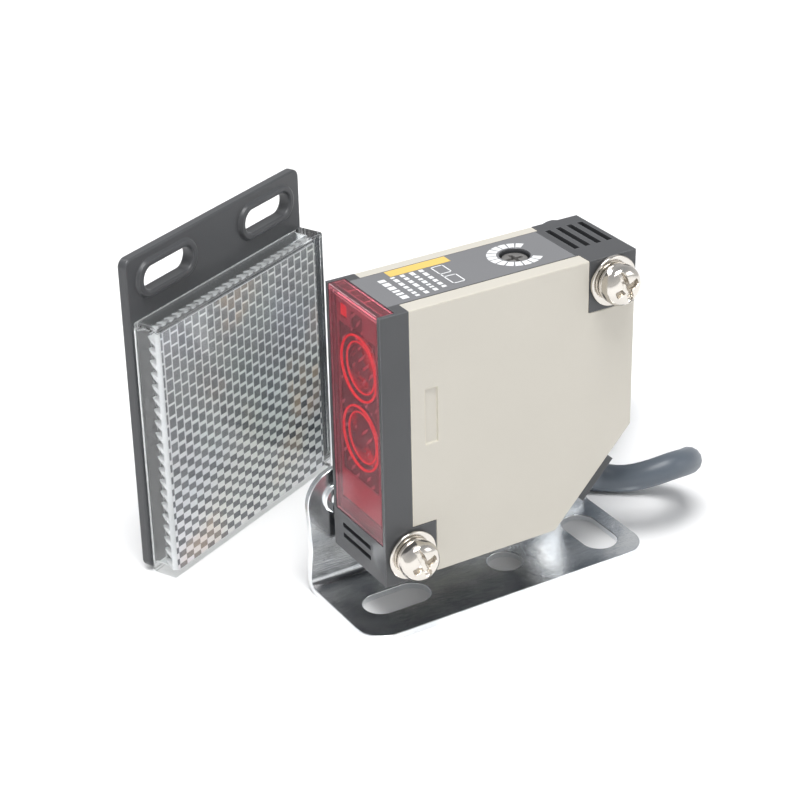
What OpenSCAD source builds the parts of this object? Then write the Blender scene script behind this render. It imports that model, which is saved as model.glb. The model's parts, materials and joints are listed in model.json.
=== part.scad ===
// Square retro-reflective photoelectric sensor on an L bracket, with its cable and its reflector.
// +X runs from the window to the back, +Z is up, and the origin is the middle of the bracket's
// round hole at its underside, which is the surface that the set stands on.

/* [Sensor body] */
// Depth of the body, from the window to the back
body_depth = 50; // [48:0.5:54]
// Width of the body across its two side covers
body_width = 17.4; // [17:0.1:19]
// Height of the body
body_height = 50; // [50:0.5:54]
// Wall of the housing band
wall = 1.6; // [1.2:0.1:1.8]
// Thickness of each side cover
cover_wall = 1.2; // [1:0.1:1.3]
// How far the near side cover's rim reaches in over the band
near_rim = 3.1; // [2.6:0.1:3.3]
// How far the far side cover's rim reaches in over the band
far_rim = 2; // [1.8:0.1:2.4]
// How far back the dark front bezel reaches along the sides
bezel_depth = 5.4; // [4.5:0.1:6]

/* [Fasteners] */
// Radius of the screws' shank
screw_r = 2; // [1.9:0.05:2.05]
// Radius of the two holes through the body
hole_r = 2.15; // [2.1:0.05:2.3]
// Distance of each hole's axis from the two nearest edges
hole_inset = 5; // [5:0.1:5.5]
// Length of the screws under the head
screw_length = 22; // [21.5:0.1:22.2]

/* [Bracket] */
// Thickness of the bracket's sheet
sheet = 1.2; // [1.1:0.05:1.3]
// Length of the bracket's base
base_length = 58.2; // [58:0.2:59]
// Height of the body's underside over the bracket's base
lift = 8; // [7:0.5:9]
// Radius of the round hole in the base
base_hole_r = 3.2; // [3:0.1:3.3]
// Half width of the two slots in the base
slot_r = 3.3; // [3:0.1:3.4]
// End-to-end length of the two slots in the base
slot_length = 12.8; // [12:0.1:13]

/* [Reflector] */
// Width of the reflector's back plate
plate_w = 49; // [48:0.5:50]
// Height of the reflector's back plate
plate_h = 60; // [59:0.5:61]
// Thickness of the reflector's back plate
plate_t = 1.9; // [1.6:0.1:2.2]
// Height of the clear block
block_h = 49.3; // [48:0.1:50]
// Thickness of the clear block
block_t = 5.4; // [5:0.1:6]
// Angle that the reflector is turned from the body's side
reflector_turn = 25.5; // [24:0.5:27]

/* [Cable] */
// Diameter of the cable
cable_d = 5; // [4.8:0.1:5.2]
// Inside radius of the stored coil
coil_inner_r = 13.5; // [13:0.5:14]

/* [Hidden] */
$fn = 48;
// The body stands with its corner here
body_x = -28.5;
body_y = -7.1;
body_z = sheet + lift;
// The slanted lower back corner takes this much off the bottom and off the back
slant_run = 15.6;
slant_rise = 16.8;
slant_length = sqrt(slant_run * slant_run + slant_rise * slant_rise);
slant_nx = slant_rise / slant_length;
slant_nz = slant_run / slant_length;
slant_offset = (body_depth - slant_run) * slant_nx;
slant_angle = atan2(slant_run, slant_rise);
slant_mid = [body_depth - slant_run / 2, body_width / 2, slant_rise / 2];
// A small gap between neighbouring pieces
gap = 0.05;
far_y = body_width;
mid_y = body_width / 2;
// The two screw holes, front low and back high
holes = [[hole_inset, hole_inset + 0.1], [body_depth - hole_inset + 0.1, body_height - hole_inset + 0.5]];
corner = 10;
// The window's front pane and the strip over the top
window_low = 7.6;
window_y0 = 0.8;
window_y1 = body_width - 0.8;
pane = 1.5;
strip_depth = 3.2;
// Optics
lens_r = 6;
lens_z = [24.4, 37.4];
holder_x0 = 1.7;
holder_x1 = 11.5;
aperture_y0 = 2.9;
aperture_y1 = 15;
// Sensitivity adjuster
adjuster = [31.7, 9.2];
adjuster_hole_r = 2.6;
// Third pad of the far side, over the front top corner
pad_at = [hole_inset, body_height - hole_inset];
// Bracket
bracket_x0 = -33.1;
bracket_y0 = -9.6;
upright_y0 = body_y + body_width + 1;
upright_y1 = upright_y0 + sheet;
bend_r = 1.5;
slot_left = [-22.4, 0];
slot_right = [18.4, 0.2];
lug_r = 6.4;
lug = [-26.7, 16.9];
// Tapped hole with a burred rim, beside the front screw
burr_at = [1.4, 8.3];
burr_r = 2.8;
burr_hole_r = 1.65;
// Relay, in body coordinates
relay_x = [19, 39];
relay_y = [2.4, 12.9];
relay_z = [18.6, 30.8];
relay_wall = 0.6;
coil_axis_z = 24.2;
coil_axis_y = 7.4;
armature_x = 33.3;
armature_hinge_z = 29;
board_y = 13;
board_t = 1.4;
// Reflector
reflector_at = [-54.1, 32.6, 0];
plate_low = 0.6;
block_inset = 0.45;
reflector_slots = [10.4, 38.6];
reflector_slot_z = 55.6;
// Cable
gland_length = 5;
coil_at = [24.5, 46.9];
// Turns side by side, and layers of turns
coil_wide = 3;
coil_high = 5;
coil_outer_r = coil_inner_r + coil_wide * cable_d;
coil_top = coil_high * cable_d;
tie_t = 0.7;
tie_angle = 35;
core_r = 0.6;
core_length = 11;
cable_route = [
    [17.4, 1.6, 14.2], [19.0, 1.6, 12.7], [21.2, 0.8, 11.6], [23.4, -1.2, 11.4],
    [25.6, -3.5, 12.1], [28.2, -5.4, 13.2], [31.6, -6.3, 13.9], [35.0, -5.4, 13.2],
    [37.9, -3.2, 11.7], [39.6, 0.2, 9.2], [39.4, 3.8, 6.6], [37.2, 7.2, 4.3],
    [34.0, 10.0, 2.9], [30.4, 12.8, 2.5], [26.2, 15.9, 2.5], [21.4, 19.2, 2.5],
    [16.2, 22.0, 2.5], [12.0, 24.2, 2.5]
];

// Outline of the body's side, drawn in X and Z, moved inwards by i.
function outline(i) = [
    [i, i],
    [(slant_offset - i + slant_nz * i) / slant_nx, i],
    [body_depth - i, (slant_nx * (body_depth - i) - slant_offset + i) / slant_nz],
    [body_depth - i, body_height - i],
    [i, body_height - i]
];

module in_body() {
    translate([body_x, body_y, body_z])
        children();
}

// A flat shape drawn in X and Z, carried along Y from y0 to y1.
module along_y(y0, y1) {
    translate([0, y1, 0])
        rotate([90, 0, 0])
            linear_extrude(y1 - y0)
                children();
}

module side_slab(i, y0, y1) {
    along_y(y0, y1)
        polygon(outline(i));
}

module box(low, high) {
    translate(low)
        cube(high - low);
}

// A cylinder along Y at a place in X and Z.
module bar_y(at, r, y0, y1) {
    translate([at[0], y1, at[1]])
        rotate([90, 0, 0])
            cylinder(r = r, h = y1 - y0);
}

// A cylinder along X at a place in Y and Z.
module bar_x(at, r, x0, x1) {
    translate([x0, at[0], at[1]])
        rotate([0, 90, 0])
            cylinder(r = r, h = x1 - x0);
}

// Puts children on the middle of the slanted corner, with +Z pointing out of it.
module on_slant() {
    translate(slant_mid)
        rotate([0, 90 + slant_angle_down(), 0])
            children();
}
function slant_angle_down() = atan2(slant_nz, slant_nx);

module corner_blocks(y0, y1) {
    intersection() {
        union() {
            box([0, y0, 0], [corner, y1, corner]);
            box([body_depth - corner + 0.6, y0, body_height - corner + 0.5],
                [body_depth, y1, body_height]);
        }
        side_slab(0, y0, y1);
    }
}

// ---- Sensor shells ----

module housing_band() {
    difference() {
        side_slab(0, near_rim + gap, far_y - far_rim - gap);
        side_slab(wall, 0, far_y);
    }
}

module bezel() {
    for (y = [[0, wall], [far_y - wall, far_y]])
        box([0, y[0], 0], [bezel_depth, y[1], body_height]);
    box([0, 0, 0], [wall, far_y, window_low - gap]);
    box([0, 0, 0], [bezel_depth, far_y, wall]);
    box([strip_depth + gap, 0, body_height - wall], [bezel_depth, far_y, body_height]);
}

// Round pads on the far side that stand the body off the bracket.
module far_pads() {
    for (at = [holes[0], pad_at, holes[1]])
        intersection() {
            bar_y(at, 4.3, far_y - wall, far_y + 0.95);
            box([0, 0, 0], [body_depth, far_y + 2, body_height]);
        }
}

module gland_boss() {
    on_slant()
        difference() {
            translate([-4.6, near_rim + gap - mid_y, -0.2])
                cube([9.2, far_y - near_rim - far_rim - 2 * gap, 4.8]);
            translate([1.6, near_rim - mid_y - 1, 1.2])
                cube([2.2, 2.2, 1.8]);
        }
}

module housing() {
    color([0.30, 0.31, 0.33])
        in_body()
            difference() {
                union() {
                    housing_band();
                    bezel();
                    corner_blocks(0, far_y);
                    far_pads();
                    gland_boss();
                }
                for (at = holes)
                    bar_y(at, hole_r, -1, far_y + 2);
                for (z = [3.2, 5.2])
                    box([-1, 5, z - 0.45], [wall + 0.3, 14.4, z + 0.45]);
                for (k = [0:3])
                    box([41.4 + 2.22 * k, 5.6, body_height - 3], [42.5 + 2.22 * k, 14.6, body_height + 1]);
                translate([adjuster[0], adjuster[1], body_height - 3])
                    cylinder(r = adjuster_hole_r, h = 4);
                on_slant()
                    translate([0, 0, -4])
                        cylinder(r = 3.45, h = 12);
                box([strip_depth, near_rim + 0.1, body_height - 0.25],
                    [body_depth - corner, far_y - far_rim - 0.1, body_height + 1]);
                window_seat();
                bar_y(burr_at, burr_r + 0.35, far_y, far_y + 2);
            }
}

// What is cut away for the window: its own thickness, and the wall behind the pane.
module window_seat() {
    box([-1, window_y0 - gap, window_low - gap], [pane + gap, window_y1 + gap, body_height + 1]);
    box([-1, window_y0 - gap, body_height - pane - gap], [strip_depth + gap, window_y1 + gap, body_height + 1]);
    box([-1, wall, window_low - gap], [wall + 0.1, far_y - wall, body_height + 1]);
    box([-1, wall, body_height - wall - 0.1], [strip_depth + gap, far_y - wall, body_height + 1]);
}

// A side cover with its outer face at Y 0 and its rim reaching inwards.
module cover(rim) {
    difference() {
        union() {
            side_slab(0, 0, cover_wall);
            difference() {
                side_slab(0, 0, rim);
                side_slab(cover_wall, -1, rim + 1);
            }
        }
        box([-1, -1, -1], [bezel_depth + gap, rim + 1, body_height + 1]);
        box([-1, -1, -1], [corner + gap, rim + 1, corner + gap]);
        box([body_depth - corner + 0.6 - gap, -1, body_height - corner + 0.5 - gap],
            [body_depth + 1, rim + 1, body_height + 1]);
    }
}

module near_cover() {
    color([0.84, 0.82, 0.78])
        in_body()
            difference() {
                cover(near_rim);
                box([8.2, -1, 25], [10.6, 0.35, 35.1]);
            }
}

module far_cover() {
    color([0.84, 0.82, 0.78])
        in_body()
            difference() {
                translate([0, far_y, 0])
                    mirror([0, 1, 0])
                        cover(far_rim);
                bar_y(pad_at, 4.3 + gap, far_y - far_rim - 1, far_y + 1);
            }
}

module top_label() {
    color([0.63, 0.63, 0.64])
        in_body()
            difference() {
                box([strip_depth + 0.1, near_rim + 0.15, body_height - 0.22],
                    [body_depth - corner - 0.05, far_y - far_rim - 0.15, body_height]);
                translate([adjuster[0], adjuster[1], body_height - 1])
                    cylinder(r = adjuster_hole_r + 0.1, h = 2);
            }
}

module front_window() {
    color([0.62, 0.16, 0.22])
        in_body() {
            box([0, window_y0, window_low], [pane, window_y1, body_height]);
            box([0, window_y0, body_height - pane], [strip_depth, window_y1, body_height]);
        }
}

// ---- Optics ----

module optics_holder() {
    color([0.22, 0.18, 0.18])
        in_body()
            difference() {
                box([holder_x0, 2.1, 10.5], [holder_x1, far_y - 2.1, 48.1]);
                for (z = lens_z)
                    bar_x([mid_y, z], lens_r + 0.1, holder_x0 + 0.5, holder_x1 + 1);
                box([holder_x0 - 1, aperture_y0, 16], [holder_x0 + 0.6, aperture_y1, 43.9]);
                box([holder_x0 - 1, 6.9, 43], [holder_x0 + 0.6, 10.9, 47.2]);
                box([holder_x0 - 1, 12, 44.8], [holder_x0 + 2.6, 14.6, 47.4]);
            }
}

// A lens: flat behind, domed towards the front.
module lens(z) {
    intersection() {
        bar_x([mid_y, z], lens_r, 1.8, 4.6);
        translate([12.1, mid_y, z])
            sphere(r = 10.2, $fn = 96);
    }
}

module lower_lens() {
    color([0.85, 0.3, 0.3])
        in_body()
            lens(lens_z[0]);
}

module upper_lens() {
    color([0.85, 0.3, 0.3])
        in_body()
            lens(lens_z[1]);
}

module polarising_filters() {
    color([0.35, 0.33, 0.38])
        in_body()
            for (z = lens_z)
                bar_x([mid_y, z], lens_r, 5.4, 5.8);
}

module emitter_led() {
    color([0.9, 0.25, 0.25])
        in_body() {
            bar_x([mid_y, lens_z[0]], 2.5, 9.6, 13.2);
            intersection() {
                translate([9.6, mid_y, lens_z[0]])
                    sphere(r = 2.5);
                box([6, 0, lens_z[0] - 3], [9.6, far_y, lens_z[0] + 3]);
            }
            bar_x([mid_y, lens_z[0]], 2.9, 13.2, 14);
        }
}

module receiver_diode() {
    color([0.15, 0.15, 0.17])
        in_body() {
            box([11.8, mid_y - 2.2, lens_z[1] - 2.6], [14, mid_y + 2.2, lens_z[1] + 2.6]);
            bar_x([mid_y, lens_z[1]], 1.5, 10.9, 11.8);
        }
}

module optics_board() {
    color([0.12, 0.35, 0.2])
        in_body()
            box([14.05, 2.2, 12], [15.45, far_y - 2.2, 46.5]);
}

module indicator_led() {
    color([0.95, 0.55, 0.2])
        in_body()
            box([holder_x0 + 0.2, 12.3, 45.1], [holder_x0 + 2.3, 14.3, 47.1]);
}

// ---- Electronics ----

module main_board() {
    color([0.12, 0.35, 0.2])
        in_body()
            along_y(board_y, board_y + board_t)
                polygon([[16.5, 4], [32, 4], [46, 19], [46, 38.5], [38.5, 38.5], [38.5, 46.5], [16.5, 46.5]]);
}

module relay_base() {
    color([0.2, 0.2, 0.22])
        in_body()
            box([relay_x[0], board_y - 1.3, relay_z[0]], [relay_x[1], board_y - 0.05, relay_z[1]]);
}

module relay_case() {
    color([0.75, 0.77, 0.8, 0.6])
        in_body()
            difference() {
                box([relay_x[0], relay_y[0], relay_z[0]], [relay_x[1], board_y - 1.35, relay_z[1]]);
                box([relay_x[0] + relay_wall, relay_y[0] + relay_wall, relay_z[0] + relay_wall],
                    [relay_x[1] - relay_wall, board_y, relay_z[1] - relay_wall]);
            }
}

module relay_coil() {
    color([0.72, 0.38, 0.18])
        in_body()
            difference() {
                union() {
                    bar_x([coil_axis_y, coil_axis_z], 3.1, 22.2, 32);
                    for (x = [[21.6, 22.3], [31.6, 32.3]])
                        bar_x([coil_axis_y, coil_axis_z], 3.7, x[0], x[1]);
                }
                bar_x([coil_axis_y, coil_axis_z], 1.25, 20, 34);
            }
}

module relay_core() {
    color([0.6, 0.6, 0.62])
        in_body() {
            bar_x([coil_axis_y, coil_axis_z], 1.2, 21.4, 32.4);
            bar_x([coil_axis_y, coil_axis_z], 2.2, 32.35, 32.8);
        }
}

module relay_yoke() {
    color([0.6, 0.6, 0.62])
        in_body() {
            box([20.4, 4.6, 20.2], [21.35, 10.2, 29.4]);
            box([20.4, 4.6, 28.5], [33, 10.2, 29.5]);
        }
}

module relay_armature() {
    color([0.55, 0.55, 0.58])
        in_body()
            box([armature_x, 4.8, 20.6], [armature_x + 0.8, 10, 29.7]);
}

module relay_moving_contact() {
    color([0.8, 0.62, 0.3])
        in_body() {
            box([armature_x + 0.8, 6.4, 19.9], [armature_x + 1, 8.4, 27]);
            bar_x([7.4, 20.8], 0.7, armature_x + 1, armature_x + 1.6);
        }
}

module relay_fixed_contact() {
    color([0.8, 0.62, 0.3])
        in_body() {
            box([35.6, 6.4, 19.6], [35.9, board_y - 1.35, 22]);
            bar_x([7.4, 20.8], 0.7, 35.2, 35.65);
        }
}

module smoothing_capacitor() {
    color([0.15, 0.17, 0.3])
        in_body()
            translate([21, 7.6, 32.6])
                cylinder(r = 4, h = 11);
}

module supply_choke() {
    color([0.25, 0.22, 0.2])
        in_body() {
            for (z = [[31.6, 32.6], [39.6, 40.6]])
                translate([29.8, 8, z[0]])
                    cylinder(r = 4, h = z[1] - z[0]);
            translate([29.8, 8, 32.5])
                cylinder(r = 3.1, h = 7.2);
        }
}

module varistor() {
    color([0.2, 0.35, 0.6])
        in_body() {
            bar_y([42.6, 28], 3.1, 7.4, 10.2);
            for (x = [-1.6, 1.6])
                bar_y([42.6 + x, 28], 0.35, 10.1, board_y - 0.05);
        }
}

module rectifier() {
    color([0.16, 0.16, 0.17])
        in_body()
            box([40.6, 9.6, 33.2], [45, board_y - 0.05, 37.6]);
}

module resistors() {
    color([0.75, 0.65, 0.5])
        in_body()
            for (z = [7, 10, 13])
                bar_x([11.4, z], 1.1, 19.5, 25.5);
}

// ---- Sensitivity adjuster ----

module adjuster_base() {
    color([0.2, 0.28, 0.5])
        in_body()
            difference() {
                box([adjuster[0] - 3.3, 5.9, 42], [adjuster[0] + 3.3, 12.5, 46.4]);
                translate([adjuster[0], adjuster[1], 44])
                    cylinder(r = 1.8, h = 4);
            }
}

module adjuster_rotor() {
    color([0.78, 0.76, 0.72])
        in_body()
            translate([adjuster[0], adjuster[1], 0])
                difference() {
                    union() {
                        translate([0, 0, 44.3])
                            cylinder(r = 1.75, h = 2.6);
                        translate([0, 0, 46.7])
                            cylinder(r = 2.25, h = 2.7);
                    }
                    for (turn = [0, 90])
                        rotate([0, 0, turn])
                            box([-1.6, -0.35, 48.4], [1.6, 0.35, 50]);
                }
}

// ---- Cable entry ----

module cable_gland() {
    color([0.2, 0.21, 0.23])
        in_body()
            on_slant() {
                translate([0, 0, -3])
                    cylinder(r = 3.4, h = 7.5);
                translate([0, 0, 4.4])
                    cylinder(r = 3, h = gland_length - 4.4);
            }
}

module cable_clamp() {
    color([0.65, 0.65, 0.67])
        in_body()
            on_slant()
                translate([0, 0, -5])
                    difference() {
                        cylinder(r = 3.6, h = 1.9);
                        translate([0, 0, -1])
                            cylinder(r = 2.4, h = 4);
                    }
}

module inner_cores() {
    color([0.5, 0.35, 0.25])
        in_body()
            on_slant()
                for (k = [0:4])
                    rotate([0, 0, 72 * k])
                        translate([1.3, 0, -8.5])
                            cylinder(r = core_r, h = 5.4);
}

// ---- Free cable ----

function unit(v) = v / norm(v);
function heading(p, i) = unit(p[min(i + 1, len(p) - 1)] - p[max(i - 1, 0)]);
function ring_at(p, i, r, sides) =
    let (t = heading(p, i), u = unit(cross([0, 0, 1], t)), v = cross(t, u))
    [for (k = [0:sides - 1]) p[i] + r * (cos(360 * k / sides) * u + sin(360 * k / sides) * v)];

// A round tube through the points of a path.
module swept_tube(path, r, sides = 10) {
    rings = len(path);
    polyhedron(
        points = [for (i = [0:rings - 1]) each ring_at(path, i, r, sides)],
        faces = concat(
            [[for (k = [0:sides - 1]) k]],
            [for (i = [0:rings - 2]) for (k = [0:sides - 1])
                [i * sides + k, (i + 1) * sides + k,
                 (i + 1) * sides + (k + 1) % sides, i * sides + (k + 1) % sides]],
            [[for (k = [sides - 1:-1:0]) (rings - 1) * sides + k]]
        )
    );
}

module cable_tube() {
    color([0.33, 0.37, 0.42])
        swept_tube(cable_route, cable_d / 2);
}

module cable_coil() {
    color([0.33, 0.37, 0.42])
        translate([coil_at[0], coil_at[1], 0])
            rotate_extrude($fn = 96)
                translate([coil_inner_r, 0])
                    square([coil_outer_r - coil_inner_r, coil_top]);
}

module cable_tie() {
    color([0.9, 0.9, 0.88])
        translate([coil_at[0], coil_at[1], 0])
            rotate([0, 0, tie_angle])
                difference() {
                    box([coil_inner_r - tie_t, -1.6, 0], [coil_outer_r + tie_t, 1.6, coil_top + tie_t]);
                    box([coil_inner_r, -2, tie_t], [coil_outer_r, 2, coil_top]);
                }
}

module cable_end_cores() {
    color([0.6, 0.35, 0.2])
        translate([coil_at[0] - 7.8, coil_at[1] + 5.5, coil_top - cable_d / 2])
            rotate([0, 90, 15])
                for (k = [0:4])
                    rotate([0, 0, 72 * k])
                        translate([1.3, 0, 0])
                            cylinder(r = core_r, h = core_length);
}

// ---- Fasteners ----

// The screws' washers, seen from the head: spring washer, then flat washer, then the body.
flat_t = 0.8;
spring_t = 1;
head_seat = flat_t + spring_t + 2 * gap;

module screws() {
    color([0.82, 0.8, 0.76])
        in_body()
            for (at = holes) {
                difference() {
                    intersection() {
                        bar_y(at, 3.7, -head_seat - 2.9, -head_seat);
                        translate([at[0], -head_seat + 1.6, at[1]])
                            sphere(r = 4.55, $fn = 72);
                    }
                    for (turn = [20, 110])
                        translate([at[0], 0, at[1]])
                            rotate([0, turn, 0])
                                box([-2.2, -head_seat - 4, -0.4], [2.2, -head_seat - 1.3, 0.4]);
                }
                bar_y(at, screw_r, -head_seat - 0.1, screw_length - head_seat);
            }
}

module flat_washers() {
    color([0.82, 0.8, 0.76])
        in_body()
            for (at = holes)
                difference() {
                    bar_y(at, 4.5, -flat_t - gap, -gap);
                    bar_y(at, 2.15, -3, 1);
                }
}

module spring_washers() {
    color([0.82, 0.8, 0.76])
        in_body()
            for (at = holes)
                difference() {
                    bar_y(at, 3.5, -head_seat + gap / 2, -flat_t - 1.5 * gap);
                    bar_y(at, 2.15, -4, 1);
                    translate([at[0], 0, at[1]])
                        rotate([0, 40, 0])
                            box([1.5, -4, -0.3], [5, 0, 0.3]);
                }
}

// ---- Bracket ----

module slot_cut(at, turn, z0, z1) {
    translate([at[0], at[1], z0])
        rotate([0, 0, turn])
            linear_extrude(z1 - z0) {
                square([slot_length - 2 * slot_r, 2 * slot_r], center = true);
                for (side = [-1, 1])
                    translate([side * (slot_length / 2 - slot_r), 0])
                        circle(r = slot_r);
            }
}

// The base, with its two free corners rounded.
module base_sheet() {
    corner_r = 5;
    front = bracket_y0;
    back = upright_y1 - sheet - bend_r;
    linear_extrude(sheet) {
        translate([bracket_x0 + corner_r, front])
            square([base_length - 2 * corner_r, back - front]);
        translate([bracket_x0, front + corner_r])
            square([base_length, back - front - corner_r]);
        for (x = [bracket_x0 + corner_r, bracket_x0 + base_length - corner_r])
            translate([x, front + corner_r])
                circle(r = corner_r);
    }
}

// The quarter bend between the base and the upright.
module bend() {
    translate([bracket_x0, upright_y0 - bend_r, sheet + bend_r])
        rotate([0, 90, 0])
            linear_extrude(base_length)
                intersection() {
                    difference() {
                        circle(r = bend_r + sheet);
                        circle(r = bend_r);
                    }
                    square([bend_r + sheet, bend_r + sheet]);
                }
}

// The upright: a lug at the front and a taller one at the back, joined by a slanted edge. The top lug is cut
// off flat below the body's top, and both screws thread into the sheet.
module upright() {
    top_lug = [body_x + holes[1][0], body_z + holes[1][1] - 1.2];
    foot = sheet + bend_r;
    right = 20;
    lug_top = body_z + body_height - 1.5;
    along_y(upright_y0, upright_y1)
        difference() {
            union() {
                translate(lug)
                    circle(r = lug_r);
                intersection() {
                    translate(top_lug)
                        circle(r = 5);
                    translate([top_lug[0] - 6, lug_top - 20])
                        square([12, 20]);
                }
                polygon([
                    [bracket_x0, foot], [bracket_x0 + base_length, foot], [bracket_x0 + base_length, foot + 1.5],
                    [right, foot + 4], [top_lug[0] + 5, top_lug[1] - 6], [top_lug[0] + 5, top_lug[1]],
                    [top_lug[0] - 4, top_lug[1] + 3], [lug[0] + 1.5, lug[1] + lug_r - 0.2],
                    [lug[0], lug[1] + lug_r], [lug[0] - lug_r, lug[1]], [bracket_x0 + 0.5, foot + 6]
                ]);
            }
            for (at = holes)
                translate([body_x + at[0], body_z + at[1]])
                    circle(r = screw_r + 0.02);
            translate([body_x + burr_at[0], body_z + burr_at[1]])
                circle(r = burr_hole_r);
        }
}

// The raised rim of the tapped hole.
module burr() {
    in_body()
        difference() {
            bar_y(burr_at, burr_r, body_width + 0.2, body_width + 1.05);
            bar_y(burr_at, burr_hole_r, body_width, body_width + 2);
            bar_y(holes[0], hole_r + 0.15, body_width, body_width + 2);
        }
}

module bracket() {
    color([0.75, 0.77, 0.78])
        difference() {
            union() {
                base_sheet();
                bend();
                upright();
                burr();
            }
            translate([0, 0, -1])
                cylinder(r = base_hole_r, h = sheet + 2);
            slot_cut(slot_left, 0, -1, sheet + 1);
            slot_cut(slot_right, 90, -1, sheet + 1);
        }
}

// ---- Reflector ----

module at_reflector() {
    translate(reflector_at)
        rotate([0, 0, reflector_turn])
            children();
}

module round_slot(at, length, r) {
    translate(at) {
        square([length - 2 * r, 2 * r], center = true);
        for (side = [-1, 1])
            translate([side * (length / 2 - r), 0])
                circle(r = r);
    }
}

module plate_outline() {
    r = 1.6;
    translate([r, plate_low])
        square([plate_w - 2 * r, plate_h]);
    translate([0, plate_low + r])
        square([plate_w, plate_h - 2 * r]);
    for (x = [r, plate_w - r])
        for (z = [plate_low + r, plate_low + plate_h - r])
            translate([x, z])
                circle(r = r);
}

module reflector_plate() {
    color([0.28, 0.29, 0.31])
        at_reflector()
            difference() {
                union() {
                    along_y(0, plate_t)
                        plate_outline();
                    for (x = reflector_slots)
                        along_y(-0.7, plate_t)
                            round_slot([x, reflector_slot_z], 16, 3.4);
                }
                for (x = reflector_slots)
                    along_y(-2, plate_t + 1)
                        round_slot([x, reflector_slot_z], 13.2, 2.2);
            }
}

module reflector_block() {
    color([0.85, 0.87, 0.88, 0.5])
        at_reflector()
            difference() {
                box([block_inset, -block_t, 0], [plate_w - block_inset, -gap, block_h]);
                box([block_inset + 1.6, -block_t + 2.2, 1.6],
                    [plate_w - block_inset - 1.6, 1, block_h - 1.6]);
            }
}

housing();
near_cover();
far_cover();
front_window();
upper_lens();
lower_lens();
optics_holder();
polarising_filters();
emitter_led();
receiver_diode();
optics_board();
indicator_led();
main_board();
relay_base();
relay_case();
relay_coil();
relay_core();
relay_yoke();
relay_armature();
relay_moving_contact();
relay_fixed_contact();
smoothing_capacitor();
supply_choke();
varistor();
rectifier();
resistors();
adjuster_base();
adjuster_rotor();
top_label();
cable_gland();
cable_clamp();
inner_cores();
cable_tube();
cable_coil();
cable_tie();
cable_end_cores();
screws();
spring_washers();
flat_washers();
bracket();
reflector_plate();
reflector_block();
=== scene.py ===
"""Photoelectric sensor on its bracket, with its coiled cable and its prism reflector."""

import json
import math

import bmesh
import bpy
import numpy as np
from mathutils import Matrix


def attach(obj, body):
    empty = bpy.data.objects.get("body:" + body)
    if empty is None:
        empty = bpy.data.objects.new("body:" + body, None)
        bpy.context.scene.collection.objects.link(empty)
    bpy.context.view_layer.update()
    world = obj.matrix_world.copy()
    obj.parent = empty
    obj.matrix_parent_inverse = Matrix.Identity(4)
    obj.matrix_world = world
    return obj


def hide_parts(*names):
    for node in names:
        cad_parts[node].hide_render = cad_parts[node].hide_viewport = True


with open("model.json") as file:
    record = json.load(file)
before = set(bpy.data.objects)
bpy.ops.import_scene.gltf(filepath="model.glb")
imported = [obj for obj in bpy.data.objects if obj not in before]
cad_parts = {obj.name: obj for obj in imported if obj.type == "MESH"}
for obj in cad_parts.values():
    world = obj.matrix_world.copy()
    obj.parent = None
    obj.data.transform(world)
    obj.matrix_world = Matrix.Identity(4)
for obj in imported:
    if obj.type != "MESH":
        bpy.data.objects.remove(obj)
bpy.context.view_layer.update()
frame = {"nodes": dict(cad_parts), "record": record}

MM = 0.001
TAU = 2 * math.pi
RECORD = frame["record"]
BODY_OF = {n: body for body, nodes in RECORD["behaviour"]["bodies"].items() for n in nodes}

# Sensor body: its corner, and sizes in millimetres, as in the CAD
BODY = np.array([-28.5, -7.1, 9.2])
WIDTH, HEIGHT = 17.4, 50.0
HOLES = ((5.0, 5.1), (45.1, 45.6))
ADJUSTER = (31.7, 9.2)
LENS_HEIGHTS = {"upper_lens": 37.4, "lower_lens": 24.4}

# Screws: the head's seat in front of the body, and the middles of the two washers
HEAD_SEAT, SPRING_SEAT, FLAT_SEAT = 1.9, 1.37, 0.45
HEAD_R, HEAD_H, SCREW_LENGTH = 3.6, 2.75, 22.0

# Reflector: its corner, its turn, and the directions across, up and out of its face
REFLECTOR = np.array([-54.1, 32.6, 0.0])
TURN = math.radians(25.5)
ACROSS = np.array([math.cos(TURN), math.sin(TURN), 0.0])
OUT = np.array([math.sin(TURN), -math.cos(TURN), 0.0])
UP = np.array([0.0, 0.0, 1.0])

# Cable, in millimetres
CABLE_R = 2.5
COIL_AT = np.array([24.5, 46.9])
COIL_RADII = (26.0, 21.0, 16.0)
COIL_LAYERS = 5
COIL_IN, COIL_OUT, TIE_AT = math.radians(241.2), math.radians(215), math.radians(35)
COIL_INSIDE, COIL_OUTSIDE, COIL_TOP = 13.5, 28.5, 25.0
CURL_R, CURL_END = 9.5, math.radians(105)
CABLE_END = np.array([COIL_AT[0] - 7.8, COIL_AT[1] + 5.5, 22.5])
CORE_HEADING = math.radians(15)
CABLE_ROUTE = np.array([
    (17.4, 1.6, 14.2), (19.0, 1.6, 12.7), (21.2, 0.8, 11.6), (23.4, -1.2, 11.4),
    (25.6, -3.5, 12.1), (28.2, -5.4, 13.2), (31.6, -6.3, 13.9), (35.0, -5.4, 13.2),
    (37.9, -3.2, 11.7), (39.6, 0.2, 9.2), (39.4, 3.8, 6.6), (37.2, 7.2, 4.3),
    (34.0, 10.0, 2.9), (30.4, 12.8, 2.5), (26.2, 15.9, 2.5), (21.4, 19.2, 2.5),
    (16.2, 22.0, 2.5), (12.0, 24.2, 2.5),
])


# ---- Camera ----

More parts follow.
